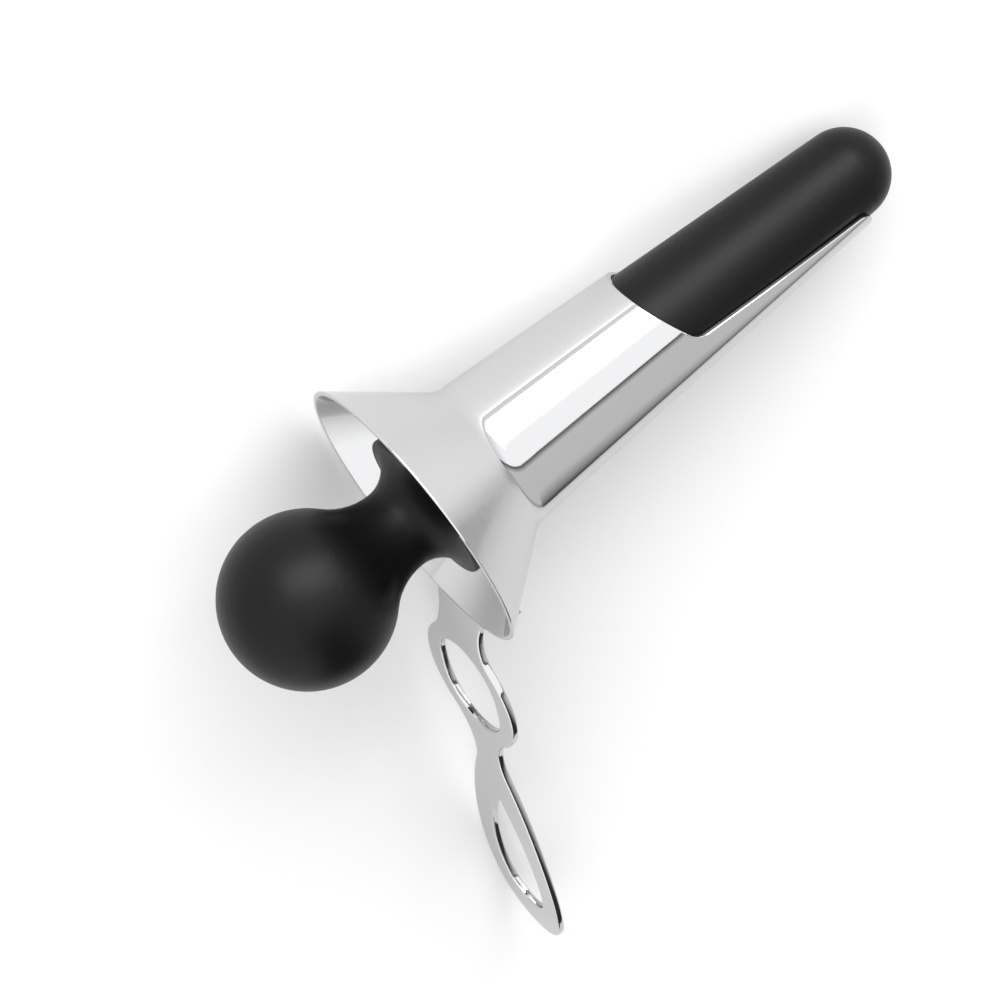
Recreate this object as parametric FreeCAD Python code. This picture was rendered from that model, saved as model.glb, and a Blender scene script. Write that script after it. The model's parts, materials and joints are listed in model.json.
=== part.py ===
"""Tubular speculum with a viewing window, a two-ring handle and an obturator.

Four pieces: a spun funnel, a tapered tube whose end is cut open to a trough,
a flat pierced handle brazed under the funnel's rim, and the obturator, a
turned plug that slides out through the funnel.

Each piece is drawn in the instrument's own frame: the centre of the rim is
the origin, +X runs down the tube to its tip, +Y is the side that the window
opens to, and -Y is the side that the handle hangs from. The whole is then laid
down on its side as it lies on a table, on the rim, the tube's tip and the
handle's outer ring.
"""
import FreeCAD, Part
import math
import os

from FreeCAD import Rotation, Vector

# Funnel, in millimetres
RIM_RADIUS = 34.2
CONE_HALF_ANGLE = 38.0
THROAT_RADIUS = 18.1
THROAT_BLEND = 6.0
FUNNEL_WALL = 1.1
LIP_BEVEL = 0.4
COLLAR_LENGTH = 6.0

# Tube and its window
TUBE_END = 121.0
TUBE_TIP_RADIUS = 12.0
TUBE_WALL = 1.1
WINDOW_TOP = 64.2
WINDOW_LEAN = 31.5
WINDOW_BLEND = 5.0
TROUGH_START = 77.0
TROUGH_START_HEIGHT = 3.1
TROUGH_END_HEIGHT = -1.8
TIP_CORNER = 3.5
EDGE_ROUND = 0.3

# Handle plate: places are distances out from the rim, or back from the handle's end
PLATE_THICKNESS = 1.8
ROOT_LEAN = 30.0
SHANK_LEAN = 9.3
END_LEAN = 4.0
ROOT_BEND_LENGTH = 12.0
SHANK_LENGTH = 55.0
HANDLE_LENGTH = 111.6
NECK_AT = 3.6
NECK_HALF_WIDTH = 7.8
ROOT_FILLET = 6.5
ROOT_FILLET_TURN = 50.0
RING_AT = 24.0
RING_RADIUS = 16.4
WAIST_AT = 47.5
WAIST_HALF_WIDTH = 5.0
OUTER_RING_FROM_END = 23.6
OUTER_RING_HALF_WIDTH = 13.9
OUTER_END_RADIUS = 12.3
RING_HOLE_LENGTH = 25.2
RING_HOLE_WIDTH = 21.4
OUTER_HOLE_LENGTH = 39.0
OUTER_HOLE_POINT = 0.9
OUTER_HOLE_WIDEST_FROM_END = 22.1
OUTER_HOLE_HALF_WIDTH = 8.0
OUTER_HOLE_END_RADIUS = 7.0
OUTER_HOLE_FROM_END = 9.2

# Obturator
SHAFT_CLEARANCE = 0.2
BALL_RADIUS = 19.7
BALL_BEHIND_RIM = 29.0
NECK_BEHIND_RIM = 4.6
KNOB_NECK_RADIUS = 9.5
FLARE_RADIUS = 7.6
SHOULDER_ROUND = 0.9
DOME_PROUD = 12.6

# Worked out from the sizes above
CONE_SLOPE = math.tan(math.radians(CONE_HALF_ANGLE))
THROAT_AT = (RIM_RADIUS - THROAT_RADIUS) / CONE_SLOPE
TAPER = (THROAT_RADIUS - TUBE_TIP_RADIUS) / (TUBE_END - THROAT_AT)
TAPER_ANGLE = math.atan(TAPER)
JOINT_AT = THROAT_AT + COLLAR_LENGTH
OUTER_RING_AT = HANDLE_LENGTH - OUTER_RING_FROM_END
OUTER_HOLE_END = HANDLE_LENGTH - OUTER_HOLE_FROM_END
OUTER_HOLE_START = OUTER_HOLE_END - OUTER_HOLE_LENGTH
OUTER_HOLE_WIDEST_AT = HANDLE_LENGTH - OUTER_HOLE_WIDEST_FROM_END

AXIS = Vector(1, 0, 0)
FRONT = Vector(0, 1, 0)
CENTRE = Vector(0, 0, 0)


def tube_radius(x):
    """Outer radius of the tapered tube at the distance x from the rim."""
    return THROAT_RADIUS - TAPER * (x - THROAT_AT)


def bore_radius(x):
    """Inner radius of the tube, the wall measured square to its surface."""
    return tube_radius(x) - TUBE_WALL / math.cos(TAPER_ANGLE)


def turned(edges):
    """Solid turned about the tube's axis from a closed half profile."""
    face = Part.Face(Part.Wire(Part.__sortEdges__(edges)))
    return face.revolve(CENTRE, AXIS, 360)


def arc(start, middle, end):
    return Part.Arc(start, middle, end).toShape()


def line(start, end):
    return Part.LineSegment(start, end).toShape()


def tangent_arc(corner, before, after, radius):
    """Arc that rounds a corner of a profile: its two ends and its middle."""
    back = (before - corner).normalize()
    on = (after - corner).normalize()
    half = back.getAngle(on) / 2
    start = corner + back * (radius / math.tan(half))
    end = corner + on * (radius / math.tan(half))
    inward = (back + on).normalize()
    middle = corner + inward * (radius / math.sin(half) - radius)
    return start, middle, end


def rounded_profile(corners, rounds):
    """Closed half profile through the corners, some rounded to a radius."""
    count = len(corners)
    arcs = {}
    for index, radius in rounds.items():
        before = corners[index - 1]
        after = corners[(index + 1) % count]
        arcs[index] = tangent_arc(corners[index], before, after, radius)
    edges = []
    for index in range(count):
        following = (index + 1) % count
        start = arcs[index][2] if index in arcs else corners[index]
        end = arcs[following][0] if following in arcs else corners[following]
        edges.append(line(start, end))
        if following in arcs:
            edges.append(arc(*arcs[following]))
    return edges


def cone_inset():
    """Wall of the cone measured along the radius."""
    return FUNNEL_WALL / math.cos(math.radians(CONE_HALF_ANGLE))


def funnel_corners():
    """Outer corners of the funnel from lip to collar, then inner ones back to the lip.

    The lip is a narrow flat between two small bevels.
    """
    inner_rim = RIM_RADIUS - cone_inset()
    inner_throat_at = (inner_rim - bore_radius(0)) / (CONE_SLOPE - TAPER)
    slant = math.radians(CONE_HALF_ANGLE)
    along = LIP_BEVEL * math.cos(slant)
    inward = LIP_BEVEL * math.sin(slant)
    outer = [
        Vector(0, RIM_RADIUS - LIP_BEVEL, 0),
        Vector(along, RIM_RADIUS - inward, 0),
        Vector(THROAT_AT, THROAT_RADIUS, 0),
        Vector(JOINT_AT, tube_radius(JOINT_AT), 0),
    ]
    inner = [
        Vector(JOINT_AT, bore_radius(JOINT_AT), 0),
        Vector(inner_throat_at, bore_radius(inner_throat_at), 0),
        Vector(along, inner_rim - inward, 0),
        Vector(0, inner_rim + LIP_BEVEL / 2, 0),
    ]
    return outer, inner


def funnel_outside():
    """The funnel's outer form as a solid plug, for fitting the handle's root."""
    outer = funnel_corners()[0]
    corners = [CENTRE] + outer + [Vector(JOINT_AT, 0, 0)]
    return turned(rounded_profile(corners, {3: THROAT_BLEND}))


def make_funnel():
    """Spun funnel: rim, cone and the short collar that the tube is soldered to."""
    outer, inner = funnel_corners()
    rounds = {2: THROAT_BLEND, 5: THROAT_BLEND + FUNNEL_WALL}
    return turned(rounded_profile(outer + inner, rounds))


def window_cutter():
    """Side view of the window, extruded across the tube.

    The mouth leans towards the tip as it goes down the tube's side, turns
    through a blend and runs out along the two straight edges of the trough,
    which end in rounded corners.
    """
    reach = 2.0 * THROAT_RADIUS
    lean = math.radians(WINDOW_LEAN)
    edge_slope = (TROUGH_END_HEIGHT - TROUGH_START_HEIGHT) / (TUBE_END - TROUGH_START)
    top_height = tube_radius(WINDOW_TOP)

    def edge_height(x):
        return TROUGH_START_HEIGHT + edge_slope * (x - TROUGH_START)

    def mouth_x(height):
        return WINDOW_TOP + (top_height - height) * math.tan(lean)

    drop = top_height - edge_height(WINDOW_TOP)
    corner_x = WINDOW_TOP + drop * math.tan(lean) / (1 + edge_slope * math.tan(lean))
    past_tip = TUBE_END + reach
    outline = [
        (mouth_x(reach), reach),
        (corner_x, edge_height(corner_x)),
        (past_tip, edge_height(past_tip)),
        (past_tip, reach),
    ]
    corners = [Vector(x, y, -reach) for x, y in outline]
    face = Part.Face(Part.makePolygon(corners + corners[:1]))
    cutter = face.extrude(Vector(0, 0, 2 * reach))
    blend_edges = []
    for edge in cutter.Edges:
        ends = [v.Point for v in edge.Vertexes]
        if all(abs(p.x - corner_x) < 1e-3 and abs(p.y - edge_height(corner_x)) < 1e-3 for p in ends):
            blend_edges.append(edge)
    return cutter.makeFillet(WINDOW_BLEND, blend_edges)


def tip_corner_cutter():
    """Rounds the trough's two end corners, seen from the side."""
    edge_slope = (TROUGH_END_HEIGHT - TROUGH_START_HEIGHT) / (TUBE_END - TROUGH_START)
    corner = Vector(TUBE_END, TROUGH_END_HEIGHT, 0)
    along = Vector(-1, -edge_slope, 0).normalize()
    down = Vector(0, -1, 0)
    half = along.getAngle(down) / 2
    setback = TIP_CORNER / math.tan(half)
    start = corner + along * setback
    end = corner + down * setback
    toward = (along + down).normalize()
    middle = corner + toward * (TIP_CORNER / math.sin(half) - TIP_CORNER)
    outside = corner + Vector(TIP_CORNER, TIP_CORNER, 0)
    edges = [
        arc(start, middle, end),
        line(end, Vector(outside.x, end.y, 0)),
        line(Vector(outside.x, end.y, 0), outside),
        line(outside, Vector(start.x, outside.y, 0)),
        line(Vector(start.x, outside.y, 0), start),
    ]
    face = Part.Face(Part.Wire(Part.__sortEdges__(edges)))
    face.translate(Vector(0, 0, -2 * TUBE_TIP_RADIUS))
    return face.extrude(Vector(0, 0, 4 * TUBE_TIP_RADIUS))


def make_tube():
    """Tapered tube, open on one side from the window's mouth to the tip."""
    corners = [
        Vector(JOINT_AT, bore_radius(JOINT_AT), 0),
        Vector(JOINT_AT, tube_radius(JOINT_AT), 0),
        Vector(TUBE_END, tube_radius(TUBE_END), 0),
        Vector(TUBE_END, bore_radius(TUBE_END), 0),
    ]
    tube = turned(rounded_profile(corners, {2: EDGE_ROUND, 3: EDGE_ROUND}))
    tube = tube.cut(window_cutter())
    return tube.cut(tip_corner_cutter())


def plate_line(offset):
    """The plate's curve seen from the side, moved back by an offset.

    It leaves the rim at the root's lean, bends to the shank's lean, runs
    straight, and bends again to stand nearly square at its end.
    """
    root = math.radians(ROOT_LEAN)
    shank = math.radians(SHANK_LEAN)
    end = math.radians(END_LEAN)
    bend_radius = ROOT_BEND_LENGTH / (math.sin(root) - math.sin(shank))
    end_length = HANDLE_LENGTH - ROOT_BEND_LENGTH - SHANK_LENGTH
    end_radius = end_length / (math.sin(shank) - math.sin(end))

    def place(out, back):
        return Vector(-back, -(RIM_RADIUS + out), 0)

    def shifted(out, back, lean):
        return place(out + offset * math.sin(lean), back - offset * math.cos(lean))

    def on_bend(lean, start_out, start_back, start_lean, radius):
        out = start_out + radius * (math.sin(start_lean) - math.sin(lean))
        back = start_back + radius * (math.cos(lean) - math.cos(start_lean))
        return out, back

    run_in = 1.5 * ROOT_BEND_LENGTH
    before = (-run_in, -run_in * math.tan(root))
    bent = on_bend(shank, 0, 0, root, bend_radius)
    mid_lean = (root + shank) / 2
    bend_middle = on_bend(mid_lean, 0, 0, root, bend_radius)
    straight = (bent[0] + SHANK_LENGTH, bent[1] + SHANK_LENGTH * math.tan(shank))
    late_lean = (shank + end) / 2
    late_middle = on_bend(late_lean, straight[0], straight[1], shank, end_radius)
    last = on_bend(end, straight[0], straight[1], shank, end_radius)
    run_out = 5.0
    beyond = (last[0] + run_out, last[1] + run_out * math.tan(end))
    return [
        shifted(*before, root),
        shifted(0, 0, root),
        shifted(*bend_middle, mid_lean),
        shifted(*bent, shank),
        shifted(*straight, shank),
        shifted(*late_middle, late_lean),
        shifted(*last, end),
        shifted(*beyond, end),
    ]


def curve_edges(points):
    """Edges of the plate's side curve: line, bend, line, bend, line."""
    return [
        line(points[0], points[1]),
        arc(points[1], points[2], points[3]),
        line(points[3], points[4]),
        arc(points[4], points[5], points[6]),
        line(points[6], points[7]),
    ]


def bent_sheet():
    """Bent strip of the plate's thickness, wider than the handle."""
    front = plate_line(0)
    back = plate_line(PLATE_THICKNESS)
    edges = curve_edges(front) + curve_edges(back)
    edges += [line(front[0], back[0]), line(front[-1], back[-1])]
    face = Part.Face(Part.Wire(Part.__sortEdges__(edges)))
    width = 2 * RING_RADIUS
    face.translate(Vector(0, 0, -width))
    return face.extrude(Vector(0, 0, 2 * width))


def plan(out, aside):
    """A point of the front view: distance out from the rim, and sideways."""
    return Vector(0, -(RIM_RADIUS + out), aside)


def plan_arc(centre, radius, start, end):
    """Arc of the front view about a centre, the short way between two points."""
    middle = (start - centre).normalize() + (end - centre).normalize()
    return arc(start, centre + middle.normalize() * radius, end)


def between(centre, other, radius):
    """The point of a circle that faces another circle's centre."""
    return centre + (other - centre).normalize() * radius


def bulge_radius(length, drop):
    """Radius of the arc that swells by a drop over a length, square at its top."""
    return (length**2 + drop**2) / (2 * drop)


def outer_flank_radius(top, half_width, end_centre, end_radius):
    """Radius of the arc from the widest place that runs smoothly into the end circle."""
    length = end_centre - top
    return (length**2 + half_width**2 - end_radius**2) / (2 * (half_width - end_radius))


def outline_side():
    """One side of the plate's front view, arcs that run smoothly into each other."""
    neck = plan(NECK_AT, NECK_HALF_WIDTH)
    root_centre = plan(NECK_AT, NECK_HALF_WIDTH + ROOT_FILLET)
    root_turn = math.radians(ROOT_FILLET_TURN)
    root_end = root_centre + Vector(0, math.sin(root_turn), -math.cos(root_turn)) * ROOT_FILLET
    inward = Vector(0, math.cos(root_turn), math.sin(root_turn))
    root_tail = root_end + inward * ROOT_BEND_LENGTH

    ring_centre = plan(RING_AT, 0)
    reach = RING_AT - NECK_AT
    neck_radius = (reach**2 + NECK_HALF_WIDTH**2 - RING_RADIUS**2) / (2 * (RING_RADIUS - NECK_HALF_WIDTH))
    neck_centre = plan(NECK_AT, NECK_HALF_WIDTH + neck_radius)
    ring_start = between(ring_centre, neck_centre, RING_RADIUS)

    reach = WAIST_AT - RING_AT
    waist_radius = (reach**2 + WAIST_HALF_WIDTH**2 - RING_RADIUS**2) / (2 * (RING_RADIUS - WAIST_HALF_WIDTH))
    waist_centre = plan(WAIST_AT, WAIST_HALF_WIDTH + waist_radius)
    ring_end = between(ring_centre, waist_centre, RING_RADIUS)

    swell = OUTER_RING_HALF_WIDTH - WAIST_HALF_WIDTH
    flank_radius = bulge_radius(OUTER_RING_AT - WAIST_AT, swell) - waist_radius
    flank_centre = plan(OUTER_RING_AT, OUTER_RING_HALF_WIDTH - flank_radius)
    waist_end = between(waist_centre, flank_centre, waist_radius)
    widest = plan(OUTER_RING_AT, OUTER_RING_HALF_WIDTH)

    end_at = HANDLE_LENGTH - OUTER_END_RADIUS
    turn_radius = outer_flank_radius(OUTER_RING_AT, OUTER_RING_HALF_WIDTH, end_at, OUTER_END_RADIUS)
    turn_centre = plan(OUTER_RING_AT, OUTER_RING_HALF_WIDTH - turn_radius)
    end_centre = plan(end_at, 0)
    end_start = end_centre - (turn_centre - end_centre).normalize() * OUTER_END_RADIUS
    tip = plan(HANDLE_LENGTH, 0)
    return [
        line(root_tail, root_end),
        plan_arc(root_centre, ROOT_FILLET, root_end, neck),
        plan_arc(neck_centre, neck_radius, neck, ring_start),
        plan_arc(ring_centre, RING_RADIUS, ring_start, ring_end),
        plan_arc(waist_centre, waist_radius, ring_end, waist_end),
        plan_arc(flank_centre, flank_radius, waist_end, widest),
        plan_arc(turn_centre, turn_radius, widest, end_start),
        plan_arc(end_centre, OUTER_END_RADIUS, end_start, tip),
    ], root_tail


def mirrored(edges):
    """The same edges on the plate's other side."""
    return [edge.mirror(CENTRE, Vector(0, 0, 1)) for edge in edges]


def plate_outline():
    """Front view of the plate as a face."""
    side, root_tail = outline_side()
    closing = line(root_tail, Vector(0, root_tail.y, -root_tail.z))
    return Part.Face(Part.Wire(Part.__sortEdges__(side + mirrored(side) + [closing])))


def through(face):
    """A front-view face made into a block that passes through the plate."""
    reach = 2 * RIM_RADIUS
    face.translate(Vector(-reach, 0, 0))
    return face.extrude(Vector(2 * reach, 0, 0))


def ring_hole():
    """Finger hole next to the rim, a round hole drawn out along the handle."""
    radius = RING_HOLE_WIDTH / 2
    half = RING_HOLE_LENGTH / 2 - radius
    near = plan(RING_AT - half, 0)
    far = plan(RING_AT + half, 0)
    side = Vector(0, 0, radius)
    edges = [
        arc(near - side, near + Vector(0, radius, 0), near + side),
        line(near + side, far + side),
        arc(far + side, far - Vector(0, radius, 0), far - side),
        line(far - side, near - side),
    ]
    return through(Part.Face(Part.Wire(Part.__sortEdges__(edges))))


def outer_hole():
    """Drop-shaped finger hole, pointed towards the waist."""
    point_at = OUTER_HOLE_START + OUTER_HOLE_POINT
    point = plan(point_at, OUTER_HOLE_POINT)
    length = OUTER_HOLE_WIDEST_AT - point_at
    side_radius = bulge_radius(length, OUTER_HOLE_HALF_WIDTH - OUTER_HOLE_POINT)
    side_centre = plan(OUTER_HOLE_WIDEST_AT, OUTER_HOLE_HALF_WIDTH - side_radius)
    widest = plan(OUTER_HOLE_WIDEST_AT, OUTER_HOLE_HALF_WIDTH)
    end_at = OUTER_HOLE_END - OUTER_HOLE_END_RADIUS
    turn_radius = outer_flank_radius(
        OUTER_HOLE_WIDEST_AT, OUTER_HOLE_HALF_WIDTH, end_at, OUTER_HOLE_END_RADIUS
    )
    turn_centre = plan(OUTER_HOLE_WIDEST_AT, OUTER_HOLE_HALF_WIDTH - turn_radius)
    end_centre = plan(end_at, 0)
    end_start = end_centre - (turn_centre - end_centre).normalize() * OUTER_HOLE_END_RADIUS
    side = [
        plan_arc(side_centre, side_radius, point, widest),
        plan_arc(turn_centre, turn_radius, widest, end_start),
        plan_arc(end_centre, OUTER_HOLE_END_RADIUS, end_start, plan(OUTER_HOLE_END, 0)),
    ]
    closing = arc(point, plan(OUTER_HOLE_START, 0), Vector(0, point.y, -point.z))
    return through(Part.Face(Part.Wire(Part.__sortEdges__(side + mirrored(side) + [closing]))))


def make_handle():
    """Flat pierced plate, bent from the side, its root fitted to the funnel."""
    plate = bent_sheet().common(through(plate_outline()))
    plate = plate.cut(ring_hole()).cut(outer_hole())
    fitted = plate.cut(funnel_outside())
    return max(fitted.Solids, key=lambda solid: solid.Volume)


def shaft_radius(x):
    return bore_radius(x) - SHAFT_CLEARANCE


def make_obturator():
    """Plug turned in one piece: grip ball, waisted neck, tapered shaft, dome."""
    ball_centre = -BALL_BEHIND_RIM
    neck_x = -NECK_BEHIND_RIM
    span = neck_x - ball_centre
    neck_fillet = (span**2 + KNOB_NECK_RADIUS**2 - BALL_RADIUS**2) / (2 * (BALL_RADIUS - KNOB_NECK_RADIUS))
    fillet_centre = Vector(neck_x, KNOB_NECK_RADIUS + neck_fillet, 0)
    ball = Vector(ball_centre, 0, 0)
    to_fillet = (fillet_centre - ball).normalize()
    leaves_ball = ball + to_fillet * BALL_RADIUS
    ball_end = Vector(ball_centre - BALL_RADIUS, 0, 0)
    on_ball = Vector(ball_centre, BALL_RADIUS, 0)
    neck = Vector(neck_x, KNOB_NECK_RADIUS, 0)
    halfway = (leaves_ball - fillet_centre).normalize() + Vector(0, -1, 0)
    on_fillet = fillet_centre + halfway.normalize() * neck_fillet

    flare_centre = Vector(neck_x, KNOB_NECK_RADIUS + FLARE_RADIUS, 0)
    diagonal = math.sqrt(0.5)
    on_flare = flare_centre + Vector(diagonal, -diagonal, 0) * FLARE_RADIUS
    back_x = neck_x + FLARE_RADIUS
    flare_end = Vector(back_x, flare_centre.y, 0)
    shoulder_x = back_x + SHOULDER_ROUND
    shoulder_radius = shaft_radius(shoulder_x)
    shoulder_start = Vector(back_x, shoulder_radius - SHOULDER_ROUND, 0)
    shoulder_middle = Vector(
        shoulder_x - SHOULDER_ROUND * diagonal,
        shoulder_radius - SHOULDER_ROUND + SHOULDER_ROUND * diagonal,
        0,
    )
    shoulder_end = Vector(shoulder_x, shoulder_radius, 0)

    apex_x = TUBE_END + DOME_PROUD
    cosine = math.cos(TAPER_ANGLE)
    dome_x = (apex_x - shaft_radius(0) * cosine) / (1 - TAPER * cosine)
    dome_radius = apex_x - dome_x
    touch = Vector(
        dome_x + dome_radius * math.sin(TAPER_ANGLE),
        dome_radius * cosine,
        0,
    )
    on_dome = Vector(dome_x + dome_radius * diagonal, dome_radius * diagonal, 0)
    apex = Vector(apex_x, 0, 0)
    edges = [
        arc(ball_end, on_ball, leaves_ball),
        arc(leaves_ball, on_fillet, neck),
        arc(neck, on_flare, flare_end),
        line(flare_end, shoulder_start),
        arc(shoulder_start, shoulder_middle, shoulder_end),
        line(shoulder_end, touch),
        arc(touch, on_dome, apex),
        line(apex, ball_end),
    ]
    return turned(edges)


def lying_turn():
    """Turn that lays the instrument on its rim, its tip and its outer ring."""
    nose = math.atan((RIM_RADIUS - tube_radius(TUBE_END)) / TUBE_END)
    ring_back = -plate_line(PLATE_THICKNESS)[5].x
    ring_out = RIM_RADIUS + OUTER_RING_AT
    lift = RIM_RADIUS - OUTER_RING_HALF_WIDTH + math.tan(nose) * ring_back
    roll = math.asin(lift / ring_out)
    about_axis = Rotation(AXIS, math.degrees(roll))
    about_side = Rotation(FRONT, math.degrees(nose))
    return about_side.multiply(about_axis)


def lay_down(pieces):
    """Turns all pieces and sets them on the table, centred over the origin."""
    turn = FreeCAD.Placement(CENTRE, lying_turn())
    turned_pieces = {}
    for name, shape in pieces.items():
        turned_pieces[name] = shape.transformed(turn.toMatrix())
    box = Part.makeCompound(list(turned_pieces.values())).optimalBoundingBox(False)
    shift = Vector(-box.Center.x, -box.Center.y, -box.ZMin)
    for shape in turned_pieces.values():
        shape.translate(shift)
    return turned_pieces


def build():
    pieces = {
        "funnel": make_funnel(),
        "tube": make_tube(),
        "handle": make_handle(),
        "obturator": make_obturator(),
    }
    return lay_down(pieces)


def main():
    os.makedirs("parts", exist_ok=True)
    pieces = build()
    for name, shape in pieces.items():
        print(name, shape.ShapeType, len(shape.Solids), shape.isValid(), round(shape.Volume, 1))
        shape.exportStep(os.path.join("parts", name + ".step"))


main()
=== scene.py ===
"""Tubular speculum with a two-ring handle and an obturator, dressed for its picture.

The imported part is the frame: it gives the table's frame, the place of the
instrument on it and the way the obturator slides. The four pieces are modelled
in the instrument's own frame, where the centre of the rim is the origin, +X
runs down the tube, +Y is the side of the window and -Y the side of the handle,
and are then laid where the frame has them.
"""

import json
import math
from bisect import bisect_right

import bpy
from bpy.props import FloatProperty, FloatVectorProperty, IntProperty, PointerProperty
from bpy.types import Operator, Panel, PropertyGroup
from mathutils import Matrix, Vector


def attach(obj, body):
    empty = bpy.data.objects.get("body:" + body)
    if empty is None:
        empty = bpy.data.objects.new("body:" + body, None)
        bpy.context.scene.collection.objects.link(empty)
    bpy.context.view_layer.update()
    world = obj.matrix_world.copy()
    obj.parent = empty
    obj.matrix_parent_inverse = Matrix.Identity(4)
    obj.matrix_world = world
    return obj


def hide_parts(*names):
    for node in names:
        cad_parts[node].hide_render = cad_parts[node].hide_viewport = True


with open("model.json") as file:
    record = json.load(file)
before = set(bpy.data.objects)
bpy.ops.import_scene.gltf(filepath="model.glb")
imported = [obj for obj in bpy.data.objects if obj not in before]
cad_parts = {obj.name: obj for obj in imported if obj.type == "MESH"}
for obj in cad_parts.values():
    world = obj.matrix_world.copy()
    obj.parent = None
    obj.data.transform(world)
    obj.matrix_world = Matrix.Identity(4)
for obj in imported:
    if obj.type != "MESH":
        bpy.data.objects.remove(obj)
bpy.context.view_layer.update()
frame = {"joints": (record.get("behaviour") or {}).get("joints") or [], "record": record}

bl_info = {
    "name": "Tubular speculum",
    "version": (1, 0, 0),
    "blender": (4, 5, 0),
    "location": "3D View > Sidebar > Speculum",
    "description": "Models and dresses a tubular speculum with its obturator",
    "category": "Object",
}


def length(name, description, millimetres):
    """A size in metres that is shown in the scene's length unit."""
    return FloatProperty(
        name=name,
        description=description,
        default=millimetres / 1000,
        unit="LENGTH",
        precision=5,
    )


def angle(name, description, degrees):
    return FloatProperty(
        name=name,
        description=description,
        default=math.radians(degrees),
        subtype="ANGLE",
    )


def colour(name, description, value):
    return FloatVectorProperty(
        name=name,
        description=description,
        default=value,
        subtype="COLOR",
        min=0,
        max=1,
    )


def amount(name, description, value):
    return FloatProperty(name=name, description=description, default=value, min=0)


class SpeculumTubeSizes(PropertyGroup):
    """Sizes of the funnel and the tube."""

    rim_radius: length("Rim radius", "Outer radius of the funnel's rim", 34.2)
    cone_half_angle: angle("Cone half angle", "Slope of the cone against the tube's axis", 38)
    throat_radius: length("Throat radius", "Outer radius where the cone meets the tube", 18.1)
    throat_blend: length("Throat blend", "Radius of the bend between cone and tube", 6)
    wall: length("Wall", "Thickness of the funnel's and the tube's sheet", 1.1)
    lip_round: length("Lip round", "Rounding of the rim's lip", 0.3)
    collar_length: length("Collar", "Length of the funnel's collar beyond the throat", 6)
    tube_end: length("Tube end", "Distance from the rim to the end of the trough", 121)
    tip_radius: length("Tip radius", "Outer radius at the end of the trough", 12)
    window_top: length("Window top", "Where the window starts on the side away from the handle", 64.2)
    window_lean: angle("Window lean", "Lean of the window's mouth", 31.5)
    window_blend: length("Window blend", "Radius between the mouth and the trough's edge", 5)
    trough_start: length("Trough start", "Where the trough's edge height is given", 77)
    trough_start_height: length("Start height", "Height of the edge above the axis there", 3.1)
    trough_end_height: length("End height", "Height of the edge above the axis at the tip", -1.8)
    tip_corner: length("Tip corner", "Radius of the trough's two end corners", 3.5)
    edge_round: length("Edge round", "Rounding of the tube's cut edges", 0.25)


class SpeculumHandleSizes(PropertyGroup):
    """Sizes of the handle, as distances out from the rim and half widths."""

    thickness: length("Thickness", "Thickness of the plate", 1.8)
    edge_round: length("Edge round", "Rounding of the plate's edges", 0.5)
    root_lean: angle("Root lean", "Lean of the plate at the rim", 30)
    shank_lean: angle("Shank lean", "Lean of the straight shank", 9.3)
    end_lean: angle("End lean", "Lean of the plate at its far end", 4)
    root_bend_length: length("Root bend", "Length of the bend next to the rim", 12)
    shank_length: length("Shank", "Length of the straight shank", 55)
    handle_length: length("Length", "How far the handle reaches beyond the rim", 111.6)
    neck_at: length("Neck at", "Place of the narrowest width next to the rim", 3.6)
    neck_half_width: length("Neck", "Half width there", 7.8)
    root_fillet: length("Root fillet", "Radius where the plate widens into the rim", 6.5)
    root_fillet_turn: angle("Root turn", "How far round the root's fillet runs", 50)
    ring_at: length("Ring at", "Place of the ring next to the rim", 24)
    ring_radius: length("Ring radius", "Outer radius of that ring", 16.4)
    waist_at: length("Waist at", "Place of the waist between the rings", 47.5)
    waist_half_width: length("Waist", "Half width of the waist", 5)
    outer_ring_at: length("Outer ring at", "Widest place of the outer ring", 88)
    outer_ring_half_width: length("Outer ring", "Half width of the outer ring", 13.9)
    outer_end_radius: length("End radius", "Radius of the handle's end", 12.3)
    ring_hole_length: length("Ring hole length", "Length of the hole next to the rim", 25.2)
    ring_hole_width: length("Ring hole width", "Width of the hole next to the rim", 21.4)
    outer_hole_start: length("Outer hole start", "Where the drop-shaped hole starts", 63.4)
    outer_hole_point: length("Hole point", "Radius of the drop's point", 0.9)
    outer_hole_widest_at: length("Hole widest at", "Widest place of the drop", 89.5)
    outer_hole_half_width: length("Hole half width", "Half width of the drop", 8)
    outer_hole_end_radius: length("Hole end radius", "Radius of the drop's round end", 7)
    outer_hole_end: length("Outer hole end", "Where the drop ends", 102.4)


class SpeculumObturatorSizes(PropertyGroup):
    """Sizes of the plastic obturator."""

    clearance: length("Clearance", "Gap between the shaft and the bore", 0.2)
    ball_radius: length("Ball radius", "Radius of the grip ball", 19.7)
    ball_behind_rim: length("Ball behind rim", "Distance of the ball's centre behind the rim", 29)
    neck_behind_rim: length("Neck behind rim", "Distance of the waisted neck behind the rim", 4.6)
    neck_radius: length("Neck radius", "Radius of the waisted neck", 9.5)
    flare_radius: length("Flare radius", "Radius of the flare from the neck to the shaft", 7.6)
    shoulder_round: length("Shoulder round", "Rounding of the shaft's shoulder", 0.9)
    dome_proud: length("Dome", "How far the dome stands beyond the tube's end", 12.6)


class SpeculumFinish(PropertyGroup):
    """Colours and gloss of the two materials."""

    steel: colour("Steel", "Colour of the polished steel", (0.57, 0.572, 0.578))
    steel_roughness: amount("Steel roughness", "Roughness of the polished steel", 0.07)
    polish_marks: amount("Polishing marks", "Depth of the faint polishing marks", 0.004)
    plastic: colour("Plastic", "Colour of the black plastic", (0.003, 0.003, 0.0033))
    plastic_roughness: amount("Plastic roughness", "Roughness of the plastic", 0.42)


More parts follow.
